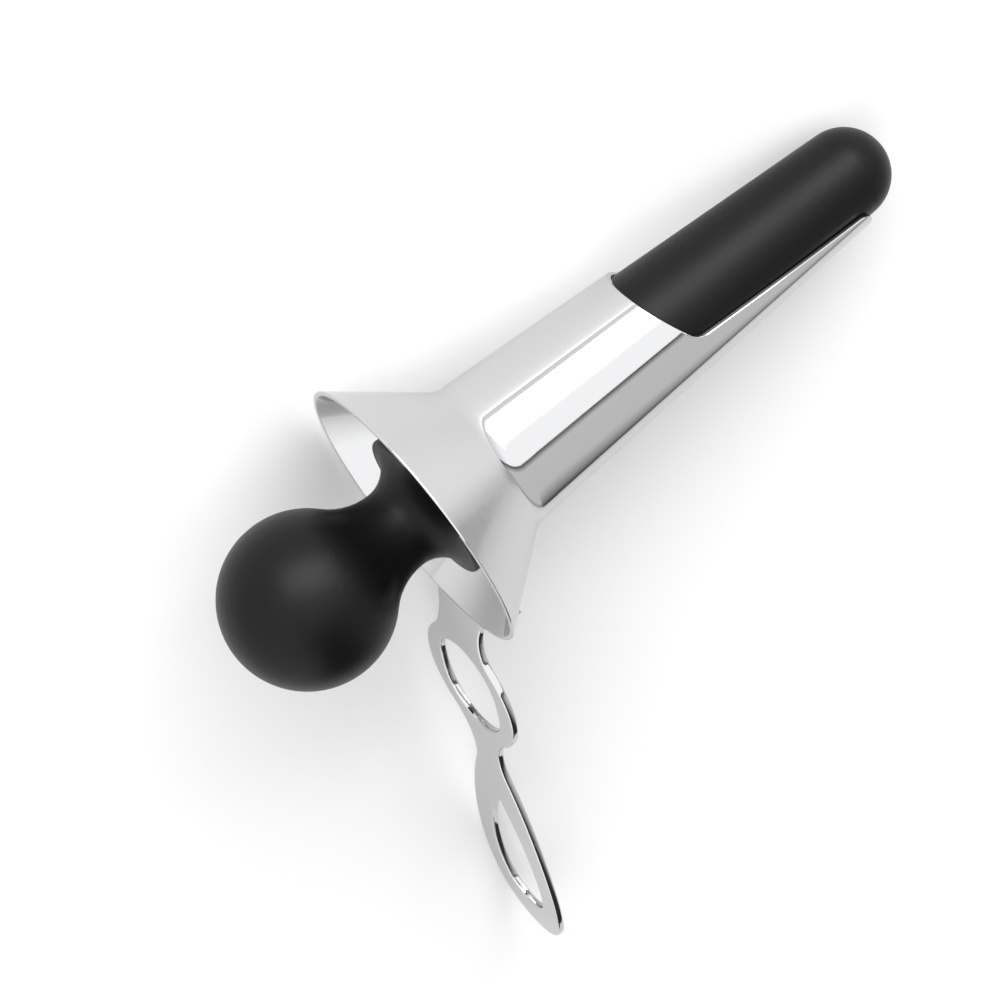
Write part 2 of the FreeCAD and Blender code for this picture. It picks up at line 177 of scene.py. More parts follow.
class SpeculumStage(PropertyGroup):
    """Camera, floor and lights."""

    camera_tilt: angle("Tilt", "How far the tube's tip leans away from the camera", 10.5)
    camera_roll: angle("Roll", "Turn of the tube in the picture", 38.5)
    camera_opening: angle("Opening", "Turn of the window's side away from the camera", 40)
    camera_distance: length("Distance", "Distance of the camera from the rim", 1000)
    pixels_per_millimetre: amount("Scale", "Size of a millimetre at the rim, in pixels", 4.64)
    rim_pixel_x: amount("Rim across", "Place of the rim's centre in the picture", 412)
    rim_pixel_y: amount("Rim down", "Place of the rim's centre in the picture", 517)
    floor_colour: colour("Floor", "Colour of the pale floor", (0.77, 0.77, 0.77))
    floor_size: length("Floor size", "Side of the floor", 6000)
    floor_roughness: amount("Floor roughness", "Roughness of the floor", 0.9)
    floor_gloss: amount("Floor gloss", "Specular level of the floor", 0.1)
    wall_light: amount("Wall light", "Brightness of the white wall", 1.6)
    around: IntProperty(name="Around", description="Faces around a turned piece", default=224, min=24)


# Picture and camera
PICTURE_SIZE = 1000
SENSOR_WIDTH = 36.0
NEAREST_SEEN = 0.01
FURTHEST_SEEN = 50

# Fineness of the meshes, lengths in metres
STRAIGHT_STEP = 0.0025
ARC_STEP = math.radians(7)
FINE_ARC_STEP = math.radians(3)
OUTLINE_STEP = 0.0007
BEND_STEP = 0.0015
BEND_PARTS = 40
ROOT_STEP = 0.0008
EDGE_ROUND_PARTS = 4
TUBE_EDGE_PARTS = 3
TUBE_FINER = 2

# Shading and selection by angle, in degrees
SMOOTH_UP_TO = 30
TUBE_SMOOTH_UP_TO = 12
CUT_EDGE_FROM = 50
SAME_PLANE_UP_TO = 1
LARGE_FACE_WEIGHT = 60
FACING = 0.9

# Handle: share of a full half circle, run-in before the rim, root behind the cone
ALMOST_HALF_ROUND = 0.999
RUN_IN = 1.5
ROOT_DEPTH = 0.0095
EMBEDDED = 0.0007

# Surroundings as (place, grey) stops
WALL_STOPS = ((0.0, 0.51), (0.42, 0.53), (0.485, 0.1), (0.497, 0.0), (0.503, 0.97))
WHITE_FOOT_STOPS = ((0.0, 0.66), (0.4, 1.0))
GREY_FOOT_STOPS = ((0.0, 0.75), (0.04, 0.6), (0.15, 1.0))
GAP_STOPS = ((0.62, 0.05), (0.69, 1.0))
RIM_SIDE_FROM = 0.35
BACKDROP_GREY = 0.6


def sizes(group):
    return getattr(bpy.context.scene, group)


def mount_place(name):
    """Place of one of the part's mounts in the table's frame."""
    for mount in frame["record"]["mounts"]:
        if mount["name"] == name:
            return Vector(mount["pos_m"])
    raise ValueError("the frame has no mount named " + name)


def instrument_frame():
    """Matrix from the instrument's frame to the table's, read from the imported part."""
    plug = sizes("speculum_obturator")
    tipward = -Vector(frame["joints"][0]["axis"]).normalized()
    ball_end = mount_place("grip_ball")
    rim_centre = ball_end + tipward * (plug.ball_behind_rim + plug.ball_radius)
    to_ring = mount_place("finger_ring") - rim_centre
    windowward = (tipward * to_ring.dot(tipward) - to_ring).normalized()
    turn = Matrix((tipward, windowward, tipward.cross(windowward))).transposed()
    return Matrix.Translation(rim_centre) @ turn.to_4x4()


def deselect_everything():
    if bpy.context.object and bpy.context.object.mode != "OBJECT":
        bpy.ops.object.mode_set(mode="OBJECT")
    bpy.ops.object.select_all(action="DESELECT")


def select_only(piece):
    deselect_everything()
    piece.select_set(True)
    bpy.context.view_layer.objects.active = piece


def edit(piece, kind="VERT"):
    """Opens a piece for editing with nothing of it selected."""
    select_only(piece)
    bpy.ops.object.mode_set(mode="EDIT")
    bpy.ops.mesh.select_mode(type=kind)
    bpy.ops.mesh.select_all(action="DESELECT")


def finish_edit():
    bpy.ops.object.mode_set(mode="OBJECT")


def use_modifier(piece, kind, **settings):
    """Adds a modifier to a piece, sets it and applies it."""
    bpy.context.view_layer.objects.active = piece
    modifier = piece.modifiers.new(kind.title(), kind)
    for name, value in settings.items():
        setattr(modifier, name, value)
    bpy.ops.object.modifier_apply(modifier=modifier.name)


def smooth(piece, up_to=SMOOTH_UP_TO):
    """Smooth shading up to an angle, with normals that follow the large faces."""
    select_only(piece)
    bpy.ops.object.shade_smooth_by_angle(angle=math.radians(up_to))
    use_modifier(
        piece,
        "WEIGHTED_NORMAL",
        mode="FACE_AREA_WITH_ANGLE",
        weight=LARGE_FACE_WEIGHT,
        keep_sharp=True,
    )


def lay_in_place(piece, node, body, material):
    """Moves a finished piece from the instrument's frame to its place on the table."""
    select_only(piece)
    piece.matrix_world = instrument_frame()
    bpy.ops.object.transform_apply(location=True, rotation=True, scale=True)
    piece.data.materials.clear()
    piece.data.materials.append(material)
    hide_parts(node)
    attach(piece, body)


def rounded_path(corners, rounds, split=True):
    """Points along a closed path through corners, some of them rounded to a radius.

    Straight runs are split evenly where asked and arcs follow in small steps.
    """
    count = len(corners)
    turns = []
    for index, corner in enumerate(corners):
        radius = rounds.get(index)
        if radius is None:
            turns.append([corner])
            continue
        back = (corners[index - 1] - corner).normalized()
        on = (corners[(index + 1) % count] - corner).normalized()
        half = back.angle(on) / 2
        start = corner + back * (radius / math.tan(half))
        centre = corner + (back + on).normalized() * (radius / math.sin(half))
        turns.append(arc_points(centre, start, math.pi - 2 * half, corner))
    points = []
    for index in range(count):
        points += turns[index]
        if not split:
            continue
        start = turns[index][-1]
        end = turns[(index + 1) % count][0]
        parts = max(1, math.ceil((end - start).length / STRAIGHT_STEP))
        points += [start.lerp(end, part / parts) for part in range(1, parts)]
    return points


def arc_points(centre, start, turn, toward, step=ARC_STEP):
    """Points of an arc about a centre from a start, turning towards a point."""
    arm = start - centre
    side = arm.x * (toward - centre).y - arm.y * (toward - centre).x
    sign = 1 if side > 0 else -1
    parts = max(2, math.ceil(turn / step))
    points = []
    for part in range(parts + 1):
        a = sign * turn * part / parts
        points.append(centre + Vector((
            arm.x * math.cos(a) - arm.y * math.sin(a),
            arm.x * math.sin(a) + arm.y * math.cos(a),
        )))
    return points


def turned_piece(name, profile, hollow, finer=1):
    """Turned piece: a ring that is extruded and scaled along a half profile.

    A hollow piece's last ring is bridged to its first, and a full piece's first
    and last rings close to a point. A finer piece has that many times the faces
    around.
    """
    around = sizes("speculum_stage").around * finer
    deselect_everything()
    bpy.ops.mesh.primitive_circle_add(
        vertices=around,
        radius=profile[0].y,
        fill_type="NOTHING" if hollow else "TRIFAN",
        location=(profile[0].x, 0, 0),
        rotation=(0, math.pi / 2, 0),
    )
    piece = bpy.context.object
    piece.name = name
    bpy.ops.object.transform_apply(location=True, rotation=True, scale=True)
    edit(piece)
    bpy.ops.mesh.select_non_manifold()
    for before, after in zip(profile, profile[1:]):
        bpy.ops.mesh.extrude_region_move(TRANSFORM_OT_translate={"value": (after.x - before.x, 0, 0)})
        ratio = after.y / before.y
        bpy.ops.transform.resize(value=(1, ratio, ratio), center_override=(after.x, 0, 0))
    if hollow:
        bpy.ops.mesh.select_all(action="DESELECT")
        bpy.ops.mesh.select_non_manifold()
        bpy.ops.mesh.bridge_edge_loops()
    else:
        bpy.ops.mesh.extrude_region_move(TRANSFORM_OT_translate={"value": (0, 0, 0)})
        bpy.ops.mesh.merge(type="CENTER")
    bpy.ops.mesh.select_all(action="SELECT")
    bpy.ops.mesh.normals_make_consistent(inside=False)
    finish_edit()
    return piece


def outline_ring(name, points):
    """Closed ring of edges through points, made from a circle."""
    deselect_everything()
    bpy.ops.mesh.primitive_circle_add(vertices=len(points), radius=0.01)
    ring = bpy.context.object
    ring.name = name
    for vertex, point in zip(ring.data.vertices, points):
        vertex.co = point
    return ring


def cone_slope():
    return math.tan(sizes("speculum_tube").cone_half_angle)


def throat_at():
    tube = sizes("speculum_tube")
    return (tube.rim_radius - tube.throat_radius) / cone_slope()


def taper():
    tube = sizes("speculum_tube")
    return (tube.throat_radius - tube.tip_radius) / (tube.tube_end - throat_at())


def tube_radius(x):
    """Outer radius of the tapered tube at a distance from the rim."""
    return sizes("speculum_tube").throat_radius - taper() * (x - throat_at())


def bore_radius(x):
    return tube_radius(x) - sizes("speculum_tube").wall / math.cos(math.atan(taper()))


def joint_at():
    """Where the funnel's collar ends and the tube starts."""
    return throat_at() + sizes("speculum_tube").collar_length


def make_funnel():
    """Spun funnel with a rounded lip, a blended throat and a short collar."""
    tube = sizes("speculum_tube")
    inner_rim = tube.rim_radius - tube.wall / math.cos(tube.cone_half_angle)
    inner_throat_at = (inner_rim - bore_radius(0)) / (cone_slope() - taper())
    end = joint_at()
    corners = [
        Vector((0, tube.rim_radius)),
        Vector((throat_at(), tube.throat_radius)),
        Vector((end, tube_radius(end))),
        Vector((end, bore_radius(end))),
        Vector((inner_throat_at, bore_radius(inner_throat_at))),
        Vector((0, inner_rim)),
    ]
    rounds = {
        0: tube.lip_round,
        1: tube.throat_blend,
        4: tube.throat_blend + tube.wall,
        5: tube.lip_round,
    }
    funnel = turned_piece("Funnel", rounded_path(corners, rounds), hollow=True)
    smooth(funnel)
    return funnel


def kept_side():
    """Block that keeps what is left of the tube, seen from the side."""
    tube = sizes("speculum_tube")
    reach = 2 * tube.throat_radius
    slope = (tube.trough_end_height - tube.trough_start_height) / (tube.tube_end - tube.trough_start)
    lean = math.tan(tube.window_lean)
    top = tube_radius(tube.window_top)

    def edge_height(x):
        return tube.trough_start_height + slope * (x - tube.trough_start)

    drop = top - edge_height(tube.window_top)
    corner_x = tube.window_top + drop * lean / (1 + slope * lean)
    behind = joint_at() - reach
    corners = [
        Vector((behind, reach)),
        Vector((tube.window_top + (top - reach) * lean, reach)),
        Vector((corner_x, edge_height(corner_x))),
        Vector((tube.tube_end, tube.trough_end_height)),
        Vector((tube.tube_end, -reach)),
        Vector((behind, -reach)),
    ]
    rounds = {2: tube.window_blend, 3: tube.tip_corner}
    points = rounded_path(corners, rounds, split=False)
    block = outline_ring("Kept side", [(p.x, p.y, -reach) for p in points])
    edit(block)
    bpy.ops.mesh.select_all(action="SELECT")
    bpy.ops.mesh.edge_face_add()
    bpy.ops.mesh.extrude_region_move(TRANSFORM_OT_translate={"value": (0, 0, 2 * reach)})
    bpy.ops.mesh.select_all(action="SELECT")
    bpy.ops.mesh.normals_make_consistent(inside=False)
    finish_edit()
    return block


def deselect_edges(piece, unwanted):
    """Deselects the edges of the piece in edit mode whose middle passes a test."""
    bpy.ops.object.mode_set(mode="OBJECT")
    vertices = piece.data.vertices
    for edge in piece.data.edges:
        start, end = (vertices[index].co for index in edge.vertices)
        if edge.select and unwanted((start + end) / 2):
            edge.select = False
    bpy.ops.object.mode_set(mode="EDIT")


def make_tube():
    """Tapered tube, cut open to a trough beyond the window's mouth.

    Its cut edges are rounded, and the edge that meets the funnel's collar isn't.
    """
    tube = sizes("speculum_tube")
    start = joint_at()
    end = tube.tube_end + tube.wall
    corners = [
        Vector((start, tube_radius(start))),
        Vector((end, tube_radius(end))),
        Vector((end, bore_radius(end))),
        Vector((start, bore_radius(start))),
    ]
    piece = turned_piece("Tube", corners, hollow=True, finer=TUBE_FINER)
    block = kept_side()
    use_modifier(piece, "BOOLEAN", operation="INTERSECT", solver="EXACT", object=block)
    bpy.data.objects.remove(block)
    edit(piece, "EDGE")
    bpy.ops.mesh.edges_select_sharp(sharpness=math.radians(CUT_EDGE_FROM))
    deselect_edges(piece, lambda middle: middle.x < start + tube.edge_round)
    bpy.ops.mesh.bevel(
        offset=tube.edge_round,
        segments=TUBE_EDGE_PARTS,
        clamp_overlap=False,
        loop_slide=False,
    )
    finish_edit()
    smooth(piece, up_to=TUBE_SMOOTH_UP_TO)
    return piece


def bend_points(out, back, start_lean, end_lean, radius):
    """Points of a bend seen from the side, as (out, back, lean)."""
    points = []
    for part in range(BEND_PARTS + 1):
        lean = start_lean + (end_lean - start_lean) * part / BEND_PARTS
        points.append((
            out + radius * (math.sin(start_lean) - math.sin(lean)),
            back + radius * (math.cos(lean) - math.cos(start_lean)),
            lean,
        ))
    return points


def plate_curve(offset):
    """The plate's curve seen from the side, as (out, place along the axis)."""
    handle = sizes("speculum_handle")
    root, shank, end = handle.root_lean, handle.shank_lean, handle.end_lean
    bend_radius = handle.root_bend_length / (math.sin(root) - math.sin(shank))
    end_length = handle.handle_length - handle.root_bend_length - handle.shank_length
    end_radius = end_length / (math.sin(shank) - math.sin(end))
    run_in = -RUN_IN * handle.root_bend_length
    points = [(run_in, run_in * math.tan(root), root)]
    points += bend_points(0, 0, root, shank, bend_radius)
    out, back, lean = points[-1]
    out += handle.shank_length
    back += handle.shank_length * math.tan(shank)
    points += bend_points(out, back, shank, end, end_radius)
    return [
        (out + offset * math.sin(lean), offset * math.cos(lean) - back)
        for out, back, lean in points
    ]


def along(curve, out):
    """Place along the axis of a plate's curve at a distance out from the rim."""
    after = min(max(bisect_right([point[0] for point in curve], out), 1), len(curve) - 1)
    before = curve[after - 1]
    following = curve[after]
    share = (out - before[0]) / (following[0] - before[0])
    return before[1] + (following[1] - before[1]) * share


def between(centre, other, radius):
    """The point of a circle that faces another circle's centre."""
    return centre + (other - centre).normalized() * radius


def swell_radius(reach, swell):
    """Radius of the arc that swells over a reach and is square at its top."""
    return (reach**2 + swell**2) / (2 * swell)


def joining_radius(reach, wide, narrow):
    """Radius of the arc from a half width that runs smoothly into a circle."""
    return (reach**2 + wide**2 - narrow**2) / (2 * (wide - narrow))


def hollow_radius(reach, wide, narrow):
    """Radius of the hollow arc from a circle down to a narrow place."""
    return (reach**2 + narrow**2 - wide**2) / (2 * (wide - narrow))


def short_arc(centre, start, end):
    """Points of the front view from a start round a centre to an end."""
    radius = (start - centre).length
    turn = (start - centre).angle(end - centre)
    return arc_points(centre, start, turn, end, OUTLINE_STEP / radius)[:-1]


def plate_outline():
    """Points of the plate's front view, out from the rim and sideways."""
    handle = sizes("speculum_handle")
    neck = Vector((handle.neck_at, handle.neck_half_width))
    root_centre = neck + Vector((0, handle.root_fillet))
    turn = handle.root_fillet_turn
    root_end = root_centre - Vector((math.sin(turn), math.cos(turn))) * handle.root_fillet
    root_tail = root_end + Vector((-math.cos(turn), math.sin(turn))) * handle.root_bend_length

    ring_centre = Vector((handle.ring_at, 0))
    reach = handle.ring_at - handle.neck_at
    neck_radius = hollow_radius(reach, handle.ring_radius, handle.neck_half_width)
    neck_centre = neck + Vector((0, neck_radius))
    ring_start = between(ring_centre, neck_centre, handle.ring_radius)

    reach = handle.waist_at - handle.ring_at
    waist_radius = hollow_radius(reach, handle.ring_radius, handle.waist_half_width)
    waist_centre = Vector((handle.waist_at, handle.waist_half_width + waist_radius))
    ring_end = between(ring_centre, waist_centre, handle.ring_radius)

    wide = handle.outer_ring_half_width
    swell = wide - handle.waist_half_width
    flank_radius = swell_radius(handle.outer_ring_at - handle.waist_at, swell) - waist_radius
    flank_centre = Vector((handle.outer_ring_at, wide - flank_radius))
    waist_end = between(waist_centre, flank_centre, waist_radius)
    widest = Vector((handle.outer_ring_at, wide))

    end_centre = Vector((handle.handle_length - handle.outer_end_radius, 0))
    reach = end_centre.x - handle.outer_ring_at
    turn_radius = joining_radius(reach, wide, handle.outer_end_radius)
    turn_centre = Vector((handle.outer_ring_at, wide - turn_radius))
    end_start = between(end_centre, 2 * end_centre - turn_centre, handle.outer_end_radius)
    tip = Vector((handle.handle_length, 0))
    side = [root_tail]
    side += short_arc(root_centre, root_end, neck)
    side += short_arc(neck_centre, neck, ring_start)
    side += short_arc(ring_centre, ring_start, ring_end)
    side += short_arc(waist_centre, ring_end, waist_end)
    side += short_arc(flank_centre, waist_end, widest)
    side += short_arc(turn_centre, widest, end_start)
    side += short_arc(end_centre, end_start, tip)
    other_side = [Vector((point.x, -point.y)) for point in reversed(side)]
    return side + [tip] + other_side


def ring_hole():
    """Points of the oval hole next to the rim."""
    handle = sizes("speculum_handle")
    radius = handle.ring_hole_width / 2
    half = handle.ring_hole_length / 2
    near = handle.ring_at - half
    far = handle.ring_at + half
    corners = [
        Vector((near, -radius)),
        Vector((near, radius)),
        Vector((far, radius)),
        Vector((far, -radius)),
    ]
    almost = radius * ALMOST_HALF_ROUND
    return rounded_path(corners, {0: almost, 1: almost, 2: almost, 3: almost})


def outer_hole():
    """Points of the drop-shaped hole, pointed towards the waist."""
    handle = sizes("speculum_handle")
    point_radius = handle.outer_hole_point
    wide = handle.outer_hole_half_width
    point = Vector((handle.outer_hole_start + point_radius, point_radius))
    side_radius = swell_radius(handle.outer_hole_widest_at - point.x, wide - point_radius)
    side_centre = Vector((handle.outer_hole_widest_at, wide - side_radius))
    widest = Vector((handle.outer_hole_widest_at, wide))
    end_centre = Vector((handle.outer_hole_end - handle.outer_hole_end_radius, 0))
    reach = end_centre.x - handle.outer_hole_widest_at
    turn_radius = joining_radius(reach, wide, handle.outer_hole_end_radius)
    turn_centre = Vector((handle.outer_hole_widest_at, wide - turn_radius))
    end_start = between(end_centre, 2 * end_centre - turn_centre, handle.outer_hole_end_radius)
    end = Vector((handle.outer_hole_end, 0))
    start = Vector((handle.outer_hole_start, 0))
    side = short_arc(Vector((point.x, 0)), start, point)
    side += short_arc(side_centre, point, widest)
    side += short_arc(turn_centre, widest, end_start)
    side += short_arc(end_centre, end_start, end)
    other_side = [Vector((p.x, -p.y)) for p in reversed(side[1:])]
    return side + [end] + other_side


def flat_plate():
    """The handle as a flat pierced plate with rounded edges, front face at x = 0."""
    handle = sizes("speculum_handle")
    rim = sizes("speculum_tube").rim_radius
    rings = []
    outlines = {"Handle": plate_outline(), "Ring hole": ring_hole(), "Outer hole": outer_hole()}
    for name, points in outlines.items():
        rings.append(outline_ring(name, [(handle.edge_round, -(rim + p.x), p.y) for p in points]))
    deselect_everything()
    for ring in rings:
        ring.select_set(True)
    bpy.context.view_layer.objects.active = rings[0]
    bpy.ops.object.join()
    plate = rings[0]
    edit(plate)
    bpy.ops.mesh.select_all(action="SELECT")
    bpy.ops.mesh.fill(use_beauty=True)
    bpy.ops.mesh.select_all(action="SELECT")
    bpy.ops.mesh.dissolve_limited(angle_limit=math.radians(SAME_PLANE_UP_TO))
    bpy.ops.mesh.select_all(action="SELECT")
    between_rounds = handle.thickness - 2 * handle.edge_round
    bpy.ops.mesh.extrude_region_move(TRANSFORM_OT_translate={"value": (between_rounds, 0, 0)})
    bpy.ops.mesh.select_all(action="SELECT")
    bpy.ops.mesh.normals_make_consistent(inside=False)
    for side in (-1, 1):
        select_faces(plate, lambda face: face.normal.x * side > FACING)
        for part in range(EDGE_ROUND_PARTS):
            before = math.radians(90 * part / EDGE_ROUND_PARTS)
            after = math.radians(90 * (part + 1) / EDGE_ROUND_PARTS)
            bpy.ops.mesh.inset(
                thickness=handle.edge_round * (math.cos(before) - math.cos(after)),
                depth=handle.edge_round * (math.sin(after) - math.sin(before)),
            )
    finish_edit()
    return plate


def select_faces(piece, wanted):
    """Selects the faces of the piece in edit mode that pass a test."""
    bpy.ops.mesh.select_mode(type="FACE")
    bpy.ops.mesh.select_all(action="DESELECT")
    bpy.ops.object.mode_set(mode="OBJECT")
    for face in piece.data.polygons:
        face.select = wanted(face)
    bpy.ops.object.mode_set(mode="EDIT")


def slice_plate(plate, places, direction):
    """Cuts rows of edges across the plate, so that it can bend along them."""
    for place in places:
        bpy.ops.mesh.select_all(action="SELECT")
        bpy.ops.mesh.bisect(plane_co=direction * place, plane_no=direction)


def steps_between(start, end, step):
    count = max(1, round((end - start) / step))
    return [start + (end - start) * part / count for part in range(count + 1)]


def make_handle():
    """Pierced plate, cut into rows, bent to its side curve and fitted behind the rim.

    Where the plate would pass through the cone it is sunk into the cone's wall,
    and there its back keeps clear of its front. The rest of the root stands
    behind the cone.
    """
    handle = sizes("speculum_handle")
    rim = sizes("speculum_tube").rim_radius
    plate = flat_plate()
    outward = Vector((0, -1, 0))
    sideways = Vector((0, 0, 1))
    edit(plate)
    root = steps_between(-ROOT_DEPTH, handle.neck_at, ROOT_STEP)[1:]
    rest = steps_between(handle.neck_at, handle.handle_length, BEND_STEP)[1:-1]
    slice_plate(plate, [rim + out for out in root + rest], outward)
    wide = handle.ring_radius
    slice_plate(plate, steps_between(-wide, wide, BEND_STEP), sideways)
    finish_edit()
    front = plate_curve(0)
    back = plate_curve(handle.thickness)
    for vertex in plate.data.vertices:
        out = -vertex.co.y - rim
        share = vertex.co.x / handle.thickness
        x = along(front, out) * (1 - share) + along(back, out) * share
        from_axis = math.hypot(vertex.co.y, vertex.co.z)
        if from_axis < rim:
            x = max(x, (rim - from_axis) / cone_slope() - EMBEDDED * (1 - share / 2))
        vertex.co.x = x
    smooth(plate)
    return plate


def shaft_radius(x):
    return bore_radius(x) - sizes("speculum_obturator").clearance


def make_obturator():
    """Plug turned in one piece: grip ball, waisted neck, tapered shaft, dome."""
    plug = sizes("speculum_obturator")
    tube = sizes("speculum_tube")
    ball = Vector((-plug.ball_behind_rim, 0))
    neck = Vector((-plug.neck_behind_rim, plug.neck_radius))
    fillet_radius = hollow_radius(neck.x - ball.x, plug.ball_radius, plug.neck_radius)
    fillet_centre = neck + Vector((0, fillet_radius))
    leaves_ball = between(ball, fillet_centre, plug.ball_radius)
    ball_end = ball - Vector((plug.ball_radius, 0))
    to_leaving = (leaves_ball - ball).angle(ball_end - ball)
    points = arc_points(ball, ball_end, to_leaving, leaves_ball, FINE_ARC_STEP)[1:-1]
    fillet_turn = (leaves_ball - fillet_centre).angle(neck - fillet_centre)
    points += arc_points(fillet_centre, leaves_ball, fillet_turn, neck)[:-1]

    flare_centre = neck + Vector((0, plug.flare_radius))
    flare_end = flare_centre + Vector((plug.flare_radius, 0))
    points += arc_points(flare_centre, neck, math.pi / 2, flare_end)
    shoulder_x = flare_end.x + plug.shoulder_round
    shoulder = Vector((shoulder_x, shaft_radius(shoulder_x)))
    shoulder_centre = shoulder - Vector((0, plug.shoulder_round))
    shoulder_start = shoulder_centre - Vector((plug.shoulder_round, 0))
    points += arc_points(shoulder_centre, shoulder_start, math.pi / 2, shoulder)

    apex_x = tube.tube_end + plug.dome_proud
    slope = math.atan(taper())
    dome_x = (apex_x - shaft_radius(0) * math.cos(slope)) / (1 - taper() * math.cos(slope))
    dome_radius = apex_x - dome_x
    dome = Vector((dome_x, 0))
    touch = dome + Vector((math.sin(slope), math.cos(slope))) * dome_radius
    parts = math.ceil((touch - shoulder).length / STRAIGHT_STEP)
    points += [shoulder.lerp(touch, part / parts) for part in range(1, parts)]
    apex = Vector((apex_x, 0))
    dome_turn = (touch - dome).angle(apex - dome)
    points += arc_points(dome, touch, dome_turn, apex, FINE_ARC_STEP)[:-1]
    piece = turned_piece("Obturator", points, hollow=False)
    smooth(piece)
    return piece


def wear_group():
    """Faint polishing marks and smears: a mask for roughness and a height for bumps."""
    name = "Surface marks"
    if name in bpy.data.node_groups:
        return bpy.data.node_groups[name]
    group = bpy.data.node_groups.new(name, "ShaderNodeTree")
    put_in = group.interface.new_socket
    put_in("Vector", in_out="INPUT", socket_type="NodeSocketVector")
    for socket, value in (("Mark scale", 300.0), ("Smear scale", 40.0)):
        put_in(socket, in_out="INPUT", socket_type="NodeSocketFloat").default_value = value
    put_in("Smears", in_out="OUTPUT", socket_type="NodeSocketFloat")
    put_in("Height", in_out="OUTPUT", socket_type="NodeSocketFloat")
    nodes, links = group.nodes, group.links
    inputs = nodes.new("NodeGroupInput")
    outputs = nodes.new("NodeGroupOutput")
    marks = nodes.new("ShaderNodeTexNoise")
    marks.inputs["Detail"].default_value = 3
    smears = nodes.new("ShaderNodeTexNoise")
    smears.inputs["Detail"].default_value = 4
    smears.inputs["Roughness"].default_value = 0.6
    links.new(inputs.outputs["Vector"], marks.inputs["Vector"])
    links.new(inputs.outputs["Vector"], smears.inputs["Vector"])
    links.new(inputs.outputs["Mark scale"], marks.inputs["Scale"])
    links.new(inputs.outputs["Smear scale"], smears.inputs["Scale"])
    links.new(smears.outputs["Fac"], outputs.inputs["Smears"])
    links.new(marks.outputs["Fac"], outputs.inputs["Height"])
    return group


def surface_material(name, base, metallic, specular, tint, roughness, spread, depth, mark_scale):
    """Glossy material whose roughness and relief vary faintly over the surface."""
    material = bpy.data.materials.new(name)
    material.use_nodes = True
    nodes, links = material.node_tree.nodes, material.node_tree.links
    shader = nodes["Principled BSDF"]
    shader.inputs["Base Color"].default_value = (*base, 1)
    shader.inputs["Metallic"].default_value = metallic
    shader.inputs["Specular IOR Level"].default_value = specular
    shader.inputs["Specular Tint"].default_value = (tint, tint, tint, 1)
    place = nodes.new("ShaderNodeTexCoord")
    mapping = nodes.new("ShaderNodeMapping")
    mapping.inputs["Rotation"].default_value = instrument_frame().inverted().to_euler()
    marks = nodes.new("ShaderNodeGroup")
    marks.node_tree = wear_group()
    marks.inputs["Mark scale"].default_value = mark_scale
    between_values = nodes.new("ShaderNodeMapRange")
    between_values.inputs["To Min"].default_value = roughness - spread
    between_values.inputs["To Max"].default_value = roughness + spread
    bump = nodes.new("ShaderNodeBump")
    bump.inputs["Strength"].default_value = depth
    bump.inputs["Distance"].default_value = 0.001
    links.new(place.outputs["Object"], mapping.inputs["Vector"])
    links.new(mapping.outputs["Vector"], marks.inputs["Vector"])
    links.new(marks.outputs["Smears"], between_values.inputs["Value"])
    links.new(between_values.outputs["Result"], shader.inputs["Roughness"])
    links.new(marks.outputs["Height"], bump.inputs["Height"])
    links.new(bump.outputs["Normal"], shader.inputs["Normal"])
    return material


def polished_steel():
    finish = sizes("speculum_finish")
    name = "Polished steel"
    if name in bpy.data.materials:
        return bpy.data.materials[name]
    rough = finish.steel_roughness
    return surface_material(
        name,
        finish.steel,
        metallic=1,
        specular=0.5,
        tint=0.88,
        roughness=rough,
        spread=rough * 0.4,
        depth=finish.polish_marks,
        mark_scale=260,
    )


def black_plastic():
    finish = sizes("speculum_finish")
    name = "Black plastic"
    if name in bpy.data.materials:
        return bpy.data.materials[name]
    return surface_material(
        name,
        finish.plastic,
        metallic=0,
        specular=0.17,
        tint=1,
        roughness=finish.plastic_roughness,
        spread=0.06,
        depth=0.04,
        mark_scale=900,
    )


def camera_axes():
    """The camera's right, up and back directions in the instrument's frame, as rows."""
    stage = sizes("speculum_stage")
    tilt, roll, opening = stage.camera_tilt, stage.camera_roll, stage.camera_opening
    tipward = Vector((
        math.cos(tilt) * math.cos(roll),
        math.cos(tilt) * math.sin(roll),
        -math.sin(tilt),
    ))
    up = Vector((-math.sin(roll), math.cos(roll), 0))
    back = Vector((0, 0, 1)) - tipward * tipward.z
    windowward = math.cos(opening) * back.normalized() + math.sin(opening) * up
    sideways = tipward.cross(windowward)
    return Matrix((tipward, windowward, sideways)).transposed()


def add_camera():
    """Camera at the picture's viewing angle, with the rim's centre at its pixel."""
    stage = sizes("speculum_stage")
    turn = camera_axes()
    half = PICTURE_SIZE / 2
    rim = Vector((
        (stage.rim_pixel_x - half) / stage.pixels_per_millimetre,
        (half - stage.rim_pixel_y) / stage.pixels_per_millimetre,
        0,
    )) / 1000
    eye = turn.transposed() @ (Vector((0, 0, stage.camera_distance)) - rim)
    data = bpy.data.cameras.new("Camera")
    camera = bpy.data.objects.new("Camera", data)
    bpy.context.scene.collection.objects.link(camera)
    data.sensor_width = SENSOR_WIDTH
    across = PICTURE_SIZE / (stage.pixels_per_millimetre * 1000)
    data.lens = SENSOR_WIDTH * stage.camera_distance / across
    data.clip_start = NEAREST_SEEN
    data.clip_end = FURTHEST_SEEN
    camera.matrix_world = instrument_frame() @ Matrix.Translation(eye) @ turn.transposed().to_4x4()
    bpy.context.scene.camera = camera


